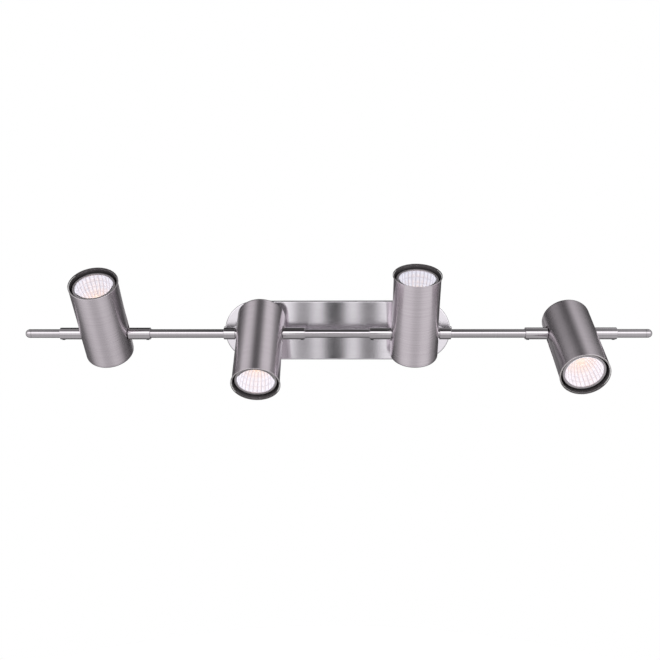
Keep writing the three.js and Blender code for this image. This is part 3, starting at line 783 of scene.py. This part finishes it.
def reflector_parts():
    """A glass bowl: smooth outside, with rings of raised facets inside, and a seat for the cover glass."""
    across, along = 8, 6
    columns, rings = FACET_SECTORS * across, FACET_RINGS * along
    seat = LAMP_FACE - GLASS_THICK - GAP
    inside = []
    for i in range(rings + 1):
        radius, height = bowl(i / rings, LAMP_WALL)
        ring = math.modf(i / along)[0]
        dome = 0.35 + 0.65 * math.sin(math.pi * ring) ** 0.7
        row = []
        for k in range(columns):
            angle = 2 * math.pi * k / columns
            sector = math.modf(k / across)[0]
            swell = FACET_DEPTH * math.sin(math.pi * sector) ** 0.7 * dome
            swell *= min(1, i / along, (rings - i) / 2) * radius / LAMP_R
            row.append(((radius - swell) * math.cos(angle), (radius - swell) * math.sin(angle), height))
        inside.append(row)
    neck = turned([(0, LAMP_NECK + 0.4), bowl(0, LAMP_WALL)], columns)
    bore = LAMP_R - LAMP_RING
    low = LAMP_FACE - LAMP_RING_DEPTH
    lip, edge = 0.3, 1.2
    step = turned([bowl(1, LAMP_WALL), (bore, seat), (bore, LAMP_FACE - lip)], columns)
    rim_profile = arc(bore + lip, LAMP_FACE - lip, lip, 180, 90, 3)
    rim_profile += arc(LAMP_R - edge, LAMP_FACE - edge, edge, 90, 0, 6) + [(LAMP_R, low)]
    rim = turned(rim_profile, columns)
    outside = turned([(LAMP_R, low)] + [bowl(1 - i / 20) for i in range(21)] + [(0, LAMP_NECK)], columns)
    return [(joined(grid(inside, wrap_across=True), neck), MIRROR), (joined(step, rim, outside), LAMP_EDGE)]


def glass_parts():
    """The flat cover glass in the lamp's front ring."""
    back = LAMP_FACE - GLASS_THICK
    profile = [
        (0, back), (GLASS_R - 0.3, back), (GLASS_R, back + 0.3), (GLASS_R, LAMP_FACE - 0.4),
        (GLASS_R - 0.4, LAMP_FACE), (0, LAMP_FACE),
    ]
    return [(turned(profile, 96), GLASS)]


def burner_parts():
    """The burner capsule on the lamp's axis, with a pinched stem and a small tip."""
    foot = LAMP_NECK + 0.6
    profile = [(0, foot), (3.2, foot), (3.4, foot + 1.5), (3.4, foot + 4), (4.4, foot + 6), (4.6, foot + 9)]
    profile += arc(0, foot + 11.5, 4.6, 0, 70, 6) + [(0.9, foot + 16.6), (0.5, foot + 17.4), (0, foot + 17.6)]
    return [(turned(profile, 32), GLOW)]


HEAD_PIECES = [
    ("shell", "head_nickel", shell_parts(), 0.2),
    ("inner_sleeve", "sleeve_metal", sleeve_parts(), 0.15),
    ("pivot_bush", "bush_brass", bush_parts(), 0),
    ("pivot_bracket", "zinc_steel", bracket_parts(), 0.2),
    ("lamp_holder", "holder_ceramic", holder_parts(), 0),
    ("lamp_base", "lamp_ceramic", base_parts(), 0),
    ("lamp_reflector", "lamp_mirror", reflector_parts(), 0),
    ("lamp_glass", "lamp_glass", glass_parts(), 0),
]


def make_head(joint):
    body = joint["child"]
    aim = joint["range_deg"][0] + 90
    lean = Matrix.Rotation(math.radians(90 - aim), 4, "X")
    place = Matrix.Translation(joint["pos_m"]) @ lean
    for name, slot, parts, bevel in HEAD_PIECES:
        piece(f"{body}_{name}", parts, place, body, bevel=bevel)
    piece(f"{body}_lamp_base", burner_parts(), place, body, extra="_burner")


# ---------- Rail ----------

def on_rail(x):
    return shift(x * MM, RAIL_Y * MM, 0)


def facing(side):
    """Turns a piece that was drawn for the right side to the left."""
    return Matrix.Rotation(math.pi if side < 0 else 0, 4, "Z")


def make_rail():
    """The rail, with a wire hole at the front inside each head and one at the back at each post."""
    half = RAIL_HALF - CAP_LENGTH
    edge = 0.3
    stations = spread(-half + edge, half - edge, 60) + [half - edge]
    profile = arc(RAIL_R - edge, -half + edge, edge, -90, 0, 3)[:-1] + [(RAIL_R, x) for x in stations]
    profile += arc(RAIL_R - edge, half - edge, edge, 0, 90, 3)
    profile += [(RAIL_BORE_R, half), (RAIL_BORE_R, -half)]
    tube = moved(turned(profile, 64, closed=True), ALONG_X)
    reach = RAIL_R + PAST
    holes = []
    for joint in frame["joints"]:
        at = shift(joint["pos_m"][0] / MM, 0, 0)
        holes.append(drill(WIRE_HOLE_R, -reach, 0, at @ ALONG_Y))
    for _, side in SIDES:
        at = shift(side * POST_X, 0, 0)
        holes.append(drill(WIRE_HOLE_R, 0, reach, at @ ALONG_Y))
    piece("rail_tube", cut([(tube, RAIL_NICKEL)], holes), on_rail(0))


def make_end_cap(name, side):
    """A domed cap with a shallow groove where it meets the rail, and a plug inside the rail."""
    start = RAIL_HALF - CAP_LENGTH + 0.1
    plug, back = RAIL_BORE_R - 0.2, start - CAP_PLUG
    edge = 0.25
    profile = [(0, back), (plug - 0.5, back), (plug, back + 0.5), (plug, start)]
    profile += arc(RAIL_R - edge, start + edge, edge, -90, 0, 3)
    profile += arc(0, RAIL_HALF - RAIL_R, RAIL_R, 0, 90, 14)
    cap = moved(turned(profile, 64), facing(side) @ ALONG_X)
    piece("end_cap_" + name, [(cap, RAIL_NICKEL)], on_rail(0))


def hex_reach(flat, angle):
    """How far a hexagon reaches at an angle, when its sides lie at flat from the middle."""
    turn = (angle + math.pi / 6) % (math.pi / 3) - math.pi / 6
    return flat / math.cos(turn)


def make_collar(head, head_x, name, side):
    """A collar with turned edges, and a hole under its free end for the set screw."""
    near, far = SET_SCREW_X - SET_SCREW_HOLE_R - 0.4, SET_SCREW_X + SET_SCREW_HOLE_R + 0.4
    corners = [
        (COLLAR_BORE_R, COLLAR_IN, 0.2), (COLLAR_R, COLLAR_IN, 0.4), (COLLAR_R, near, 0), (COLLAR_R, far, 0),
        (COLLAR_R, COLLAR_OUT, 0.5), (COLLAR_BORE_R, COLLAR_OUT, 0.2), (COLLAR_BORE_R, far, 0),
        (COLLAR_BORE_R, near, 0),
    ]
    collar = moved(turned(rounded(corners), 72, closed=True), facing(side) @ ALONG_X)
    place = facing(side) @ shift(SET_SCREW_X, 0, 0)
    hole = drill(SET_SCREW_HOLE_R, -COLLAR_R - PAST, -COLLAR_BORE_R + PAST, place)
    parts = cut([(collar, RAIL_NICKEL)], [hole])
    piece(f"{head}_collar_{name}", parts, on_rail(head_x))


def make_set_screw(head, head_x, name, side):
    """The set screw under a collar's free end, with a hexagon socket."""
    low, high = -COLLAR_R - SET_SCREW_PROUD, -RAIL_R - 0.15
    wall = circle(24, SET_SCREW_R)
    narrow = [(x * 0.88, y * 0.88) for x, y in wall]
    socket = []
    for x, y in wall:
        reach = hex_reach(0.9, math.atan2(y, x)) / math.hypot(x, y)
        socket.append((x * reach, y * reach))
    middle = [(0, 0)] * len(wall)
    rings = (
        (middle, high), (wall, high), (wall, low + 0.3), (narrow, low), (socket, low), (socket, low + 1.2),
        (middle, low + 1.5),
    )
    rows = [[(x, y, height) for x, y in outline] for outline, height in rings]
    screw = moved(grid(rows, wrap_across=True), facing(side) @ shift(SET_SCREW_X, 0, 0))
    parts = [(screw, BLACK_STEEL_AND_SLOT_SHADE)]
    piece(f"{head}_set_screw_{name}", parts, on_rail(head_x), sharp=30)


def make_post(name, side):
    """A post with its knuckle round the rail and its threaded end inside the canopy."""
    place = on_rail(side * POST_X)
    rows = []
    for radius, sign in ((COLLAR_R, 1), (COLLAR_BORE_R, -1)):
        rows += [(radius, -sign * KNUCKLE_HALF, 0.5), (radius, -sign * POST_THREAD_R, 0)]
        rows += [(radius, sign * POST_THREAD_R, 0), (radius, sign * KNUCKLE_HALF, 0.5)]
    knuckle = moved(turned(rounded(rows), 72, closed=True), ALONG_X)
    bore = drill(POST_BORE_R, 0, COLLAR_R + PAST, ALONG_Y)
    foot = RAIL_R + 0.4
    face = -CANOPY_DEPTH - GAP - RAIL_Y
    end = POST_END - RAIL_Y
    pitch, root_r = 0.7, POST_THREAD_R - 0.4
    profile = [(POST_BORE_R, foot), (POST_R, foot), (POST_R, face - 0.4), (POST_R - 0.4, face)]
    profile += [(POST_THREAD_R, face)]
    height = face + 0.5
    while height < end - pitch:
        profile += [(POST_THREAD_R, height), (root_r, height + pitch / 2)]
        height += pitch
    profile += [(root_r, end), (POST_BORE_R, end)]
    stem = moved(turned(profile, 64, closed=True), ALONG_Y)
    parts = cut([(knuckle, RAIL_NICKEL)], [bore]) + [(stem, RAIL_NICKEL)]
    piece("post_" + name, parts, place)


def make_post_nut(name, side):
    """A hexagon nut with chamfered corners that holds a post in the canopy."""
    seat = -CANOPY_DEPTH + CANOPY_WALL + GAP
    bore = POST_THREAD_R + 0.2
    sides = 72
    end = seat + NUT_THICK
    flat = NUT_R * math.cos(math.pi / 6)
    rows = []
    for limit, height in ((0.93, seat), (1, seat + 0.5), (1, end - 0.5), (0.93, end)):
        row = []
        for a in spread(0, 2 * math.pi, sides):
            reach = min(hex_reach(flat, a), NUT_R * limit)
            row.append((reach * math.cos(a), reach * math.sin(a), height))
        rows.append(row)
    for height in (end, seat):
        rows.append([(x, y, height) for x, y in circle(sides, bore)])
    nut = moved(grid(rows, wrap_across=True, wrap_along=True), ALONG_Y)
    place = shift(side * POST_X * MM, 0, 0)
    piece("post_nut_" + name, [(nut, ZINC)], place, sharp=25)


# ---------- Wall side ----------

def stadium(length, height, inset, y, arc_steps=32, straight_steps=24):
    """One closed row of points of the canopy's outline, moved in by inset."""
    radius = height / 2 - inset
    reach = (length - height) / 2
    row = []
    for side in (1, -1):
        bend = arc(side * reach, 0, radius, -90 * side, 180 - 90 * side, arc_steps)
        row += [(x, y, z) for x, z in bend]
        for i in range(1, straight_steps):
            row.append((side * reach * (1 - 2 * i / straight_steps), y, side * radius))
    return row


def make_canopy():
    """The stadium pan, open at the wall, with a rounded front edge and holes for posts and side screws."""
    def skin(inset):
        edge = CANOPY_EDGE - inset / 2
        front = -CANOPY_DEPTH + inset
        wall = [(0, 0), (0, front / 2)]
        for turn in range(0, 91, 15):
            a = math.radians(turn)
            wall.append((edge - edge * math.cos(a), front + edge - edge * math.sin(a)))
        wall += [(edge + (CANOPY_HEIGHT / 2 - inset - edge) * share, front) for share in (0.15, 0.5, 0.8, 1)]
        return [stadium(CANOPY_LENGTH, CANOPY_HEIGHT, inset + deep, y) for deep, y in wall]

    outside, inside = skin(0), skin(CANOPY_WALL)
    lip = grid([outside[0], inside[0]], wrap_across=True)
    parts = [
        (joined(grid(outside, wrap_across=True), lip), CANOPY_NICKEL),
        (grid(inside, wrap_across=True), CANOPY_INSIDE),
    ]
    holes = []
    end = CANOPY_LENGTH / 2
    for _, side in SIDES:
        at_post = shift(side * POST_X, 0, 0) @ ALONG_Y
        holes.append(drill(POST_THREAD_R + GAP, -CANOPY_DEPTH - PAST, POST_END, at_post))
        at_end = shift(0, SIDE_SCREW_Y, 0) @ facing(side) @ ALONG_X
        holes.append(drill(SIDE_SCREW_R + GAP, end - CANOPY_WALL - PAST, end + PAST, at_end))
    piece("canopy", cut(parts, holes))


def make_canopy_screw(name, side):
    """A knurled thumb screw. Its straight driver slot is not cut: a dark block laid flush in the head stands
    in for it as painted shade.
    """
    seat = CANOPY_LENGTH / 2 + GAP
    head_r, head, ridges = 4.2, 3.2, 28
    angles = spread(0, 2 * math.pi, ridges * 4)

    def row(radius, x, knurl):
        points = []
        for a in angles:
            reach = radius + knurl * (math.cos(a * ridges) - 1) / 2
            points.append((x, reach * math.cos(a), reach * math.sin(a)))
        return points

    rings = (
        (0, seat - 7, 0), (SIDE_SCREW_R - 0.4, seat - 7, 0), (SIDE_SCREW_R, seat - 6.6, 0),
        (SIDE_SCREW_R, seat, 0), (head_r - 0.4, seat, 0), (head_r, seat + 0.4, 0.3),
        (head_r, seat + head - 0.6, 0.3), (head_r - 0.6, seat + head, 0), (0, seat + head, 0),
    )
    rows = [row(*ring) for ring in rings]
    body = grid(rows, wrap_across=True)
    # A dark block flush with the head: painted shade for the driver slot.
    slot = block((seat + head - 0.5, -2.6, -0.45), (seat + head + 0.02, 2.6, 0.45), 0.1)
    turn = facing(side)
    place = shift(0, SIDE_SCREW_Y * MM, 0)
    parts = [(moved(body, turn), RAIL_NICKEL), (moved(slot, turn), BLACK_STEEL_AND_SLOT_SHADE)]
    piece("canopy_screw_" + name, parts, place, sharp=30)


def make_ground_screw():
    """A low-headed screw, clear of the lead that passes in front of it."""
    seat = -STRAP_SHEET - GAP
    profile = [(0, -GAP), (SIDE_SCREW_R, -GAP), (SIDE_SCREW_R, seat), (3.5, seat), (3.6, seat - 0.4)]
    profile += [(3.5, seat - 1.1), (2.9, seat - 1.6), (1.8, seat - 1.85), (0, seat - 1.9)]
    screw = moved(turned(profile, 48), ALONG_Y)
    # A dark block flush with the head: painted shade for the driver slot.
    slot = block((-2.9, seat - 1.93, -0.4), (2.9, seat - 1.3, 0.4), 0.1)
    place = shift(GROUND_X * MM, 0, 0)
    piece("ground_screw", [(screw, GROUND_GREEN), (slot, BLACK_STEEL_AND_SLOT_SHADE)], place)


def make_terminal_block():
    """Three moulded housings side by side, each with two brass screws in raised wells."""
    back = -STRAP_SHEET - GAP
    front = back - BLOCK_DEPTH
    high = BLOCK_HEIGHT / 2
    half = BLOCK_PITCH / 2 - 0.35
    way = ring_tube(3.1, 2.1, -high - 0.02, high + 0.02, 0.3, 32)
    well = moved(ring_tube(3, 2, front, front + 3, 0.3, 32), ALONG_Y)
    screw = moved(rod(1.9, front + 1, front + 3, 0.2, 24), ALONG_Y)
    housings, wells, screws, ways = [], [], [], []
    for x in (-BLOCK_PITCH, 0, BLOCK_PITCH):
        housings.append(block((x - half, front + 2.4, -high), (x + half, back, high), 0.8, 3))
        ways.append(moved(way, shift(x, (front + back) / 2 + 1, 0)))
        for z in (-4, 4):
            wells.append(moved(well, shift(x, 0, z)))
            screws.append(moved(screw, shift(x, 0, z)))
    bridge = block((-BLOCK_WIDTH / 2, back - 3, -5), (BLOCK_WIDTH / 2, back, 5), 0.8, 3)
    parts = [(joined(*housings, *wells, *ways, bridge), WHITE_PLASTIC), (joined(*screws), BRASS)]
    piece("terminal_block", parts)


def make_lead(name, side):
    """The supply lead of one half: out of the block, through the post and along inside the rail."""
    start = BLOCK_WIDTH / 2 + GAP
    outer_head = max(joint["pos_m"][0] for joint in frame["joints"]) / MM
    down = [
        (start, LEAD_Y), (60, LEAD_Y), (116, LEAD_Y), (126, LEAD_Y - 0.8), (POST_X - 0.6, LEAD_Y - 4.5),
        (POST_X, POST_END - 2), (POST_X, -30), (POST_X, -60), (POST_X, RAIL_Y),
    ]
    to_post = swept(smooth_path([(side * x, y, 0) for x, y in down]), LEAD_R)
    in_rail = swept([(side * x, RAIL_Y, 0) for x in (outer_head / 3, outer_head / 2, outer_head)], LEAD_R)
    piece("supply_lead_" + name, [(joined(to_post, in_rail), LEAD_SLEEVE)])


def finish_strap():
    """The CAD strap keeps its shape. It gets its plating, and its points are merged so that the edges can be
    rounded."""
    strap = frame["nodes"]["mounting_strap"]
    strap.data.materials.clear()
    strap.data.materials.append(ZINC)
    weld = strap.modifiers.new("weld", "WELD")
    weld.merge_threshold = MERGE
    round_edges(strap, 0.25)


# ---------- Stage and light ----------

WHITE = (1, 1, 1, 1)


def area_light(name, place, aim, width, height, radiance):
    """A soft box. Its power is worked out from how bright its face looks."""
    light = bpy.data.lights.new(name, "AREA")
    light.shape = "RECTANGLE"
    light.size, light.size_y = width, height
    light.energy = radiance * math.pi * width * height
    box = bpy.data.objects.new(name, light)
    box.location = place
    box.rotation_euler = (Vector(aim) - Vector(place)).to_track_quat("-Z", "Y").to_euler()
    box.visible_camera = False
    box.visible_glossy = False
    bpy.context.scene.collection.objects.link(box)


def make_floor():
    finish = Finish("pale_floor", Roughness=0.9, Emission_Strength=0.8)
    cloud = finish.noise(3, 2)
    finish.set("Base Color", finish.tints(cloud, (0.82, 0.82, 0.82), (0.86, 0.86, 0.86)))
    finish.set("Emission Color", WHITE)
    mesh = bpy.data.meshes.new("floor")
    sides = 64
    mesh.from_pydata([(x, y, 0) for x, y in circle(sides, 1.3)], [], [tuple(range(sides))])
    mesh.materials.append(finish.material)
    floor = bpy.data.objects.new("floor", mesh)
    floor.location = (0, -0.1, -0.9)
    floor.visible_glossy = False
    bpy.context.scene.collection.objects.link(floor)


BAND_SCALE = 4           # the brightest stop a band can hold
STRIP_EDGE = 0.004       # the soft edge of a dark upright, as an X part
LEAN = 0.2               # how far the side band shifts to one side, above and behind the fixture
LEAN_TURNS = (92, 112)   # the degrees over which it shifts
FRONT_TURNS = (18, 12)   # the degrees on each side of the front over which the dark uprights fade in


def as_turn(degrees):
    """A turn about X as a share of the whole circle, with 0 degrees in the middle."""
    return degrees / 360 + 0.5


class Sky(Nodes):
    """The studio as reflections see it. A direction is given by its X part and its turn about X, which is 0
    in front and 90 above."""

    def __init__(self):
        world = bpy.data.worlds.new("studio")
        bpy.context.scene.world = world
        world.use_nodes = True
        super().__init__(world.node_tree)

    def step(self, value, low, high):
        """A smooth step, upwards if low is below high, and downwards if it is above."""
        ends = float(low > high), float(low < high)
        return self.span(value, *ends, min(low, high), max(low, high), interpolation_type="SMOOTHSTEP")

    def band(self, turn, stops):
        """Brightness round the X axis, from (degrees, brightness) stops. A ramp only holds values up to 1."""
        made = self.node("ValToRGB", {0: turn})
        ramp = made.color_ramp
        while len(ramp.elements) < len(stops):
            ramp.elements.new(0.5)
        for element, (degrees, value) in zip(ramp.elements, stops):
            element.position = as_turn(degrees)
            element.color = (value / BAND_SCALE, value / BAND_SCALE, value / BAND_SCALE, 1)
        return self.math("MULTIPLY", made.outputs[0], BAND_SCALE)


# Brightness by turn, in degrees: for directions across the rail, then towards its ends, then along it.
MIDDLE_BAND = (
    (-180, 0.7), (-173, 0.5), (-166, 0.06), (-118, 0.1), (-100, 0.4), (-83, 0.58), (-55, 0.62), (-28, 0.62),
    (-10, 1.15), (12, 1.3), (20, 2.7), (34, 2.2), (46, 0.5), (56, 0.06), (64, 0.02), (80, 0.03), (92, 0.16),
    (101, 0.16), (116, 0.05), (166, 0.03), (173, 0.6), (180, 0.7),
)
SIDE_BAND = (
    (-180, 0.06), (-130, 0.12), (-97, 0.62), (-75, 0.86), (-28, 0.62), (-10, 1.15), (12, 1.3), (22, 2.3),
    (46, 1.5), (60, 0.55), (80, 0.4), (90, 0.75), (98, 0.98), (108, 0.8), (118, 0.42), (145, 0.14),
    (165, 0.05),
)
FAR_BAND = (
    (-180, 0.6), (-110, 0.5), (-80, 0.7), (-20, 0.6), (20, 1.1), (60, 0.8), (120, 0.5), (180, 0.6),
)
# X parts of the direction between which a band takes over from the one before.
SIDE_START = (0.06, 0.5)
FAR_START = (0.78, 0.9)
# Dark uprights in front, which the flat canopy reflects: from, to (X part of the direction) and darkness.
STRIPS = ((-0.056, -0.036, 0.7), (-0.022, 0.002, 1.0), (0.019, 0.040, 0.85))


def make_world():
    sky = Sky()
    split = sky.axes(sky.place("Generated"))
    across = split["X"]
    turn = sky.math("ARCTAN2", split["Z"], sky.math("MULTIPLY", split["Y"], -1))
    turn = sky.math("ADD", sky.math("DIVIDE", turn, 2 * math.pi), 0.5)
    lean = sky.math("MULTIPLY", sky.step(turn, *map(as_turn, LEAN_TURNS)), LEAN)
    offset = sky.math("ABSOLUTE", sky.math("ADD", across, lean))
    outward = sky.math("ABSOLUTE", across)
    total = sky.band(turn, MIDDLE_BAND)
    outer_bands = ((SIDE_BAND, sky.step(offset, *SIDE_START)), (FAR_BAND, sky.step(outward, *FAR_START)))
    for stops, share in outer_bands:
        kept = sky.math("MULTIPLY", total, sky.math("SUBTRACT", 1, share))
        total = sky.math("ADD", kept, sky.math("MULTIPLY", sky.band(turn, stops), share))
    off_front = sky.math("ABSOLUTE", sky.math("SUBTRACT", turn, as_turn(0)))
    in_front = sky.step(off_front, *(degrees / 360 for degrees in FRONT_TURNS))
    for low, high, shade in STRIPS:
        risen = sky.step(across, low - STRIP_EDGE, low + STRIP_EDGE)
        inside = sky.math("SUBTRACT", risen, sky.step(across, high - STRIP_EDGE, high + STRIP_EDGE))
        darkened = sky.math("MULTIPLY", sky.math("MULTIPLY", inside, in_front), shade)
        total = sky.math("MULTIPLY", total, sky.math("SUBTRACT", 1, darkened))
    seen = sky.node("LightPath").outputs["Is Camera Ray"]
    shown = sky.mixed(seen, total, WHITE)
    sky.give(sky.tree.nodes["Background"].inputs["Color"], shown)


def make_lights():
    area_light("key", (-0.5, -0.9, 1.0), (0, -0.1, 0), 1.2, 0.9, 1.0)
    area_light("fill", (0.9, -0.9, 0.2), (0, -0.1, 0), 0.9, 1.0, 0.6)
    area_light("back", (-0.7, 1.1, 0.5), (0, 0, 0), 1.0, 0.9, 3.0)


# ---------- Build ----------

make_camera()
make_canopy()
finish_strap()
make_ground_screw()
make_terminal_block()
make_rail()
for side_name, side_sign in SIDES:
    for make in (make_canopy_screw, make_end_cap, make_post, make_post_nut, make_lead):
        make(side_name, side_sign)
for tilt in frame["joints"]:
    make_head(tilt)
    for side_name, side_sign in SIDES:
        if f"{tilt['child']}_collar_{side_name}" in frame["nodes"]:
            for make in (make_collar, make_set_screw):
                make(tilt["child"], tilt["pos_m"][0] / MM, side_name, side_sign)
make_floor()
make_world()
make_lights()
bpy.context.scene.view_settings.view_transform = "Standard"
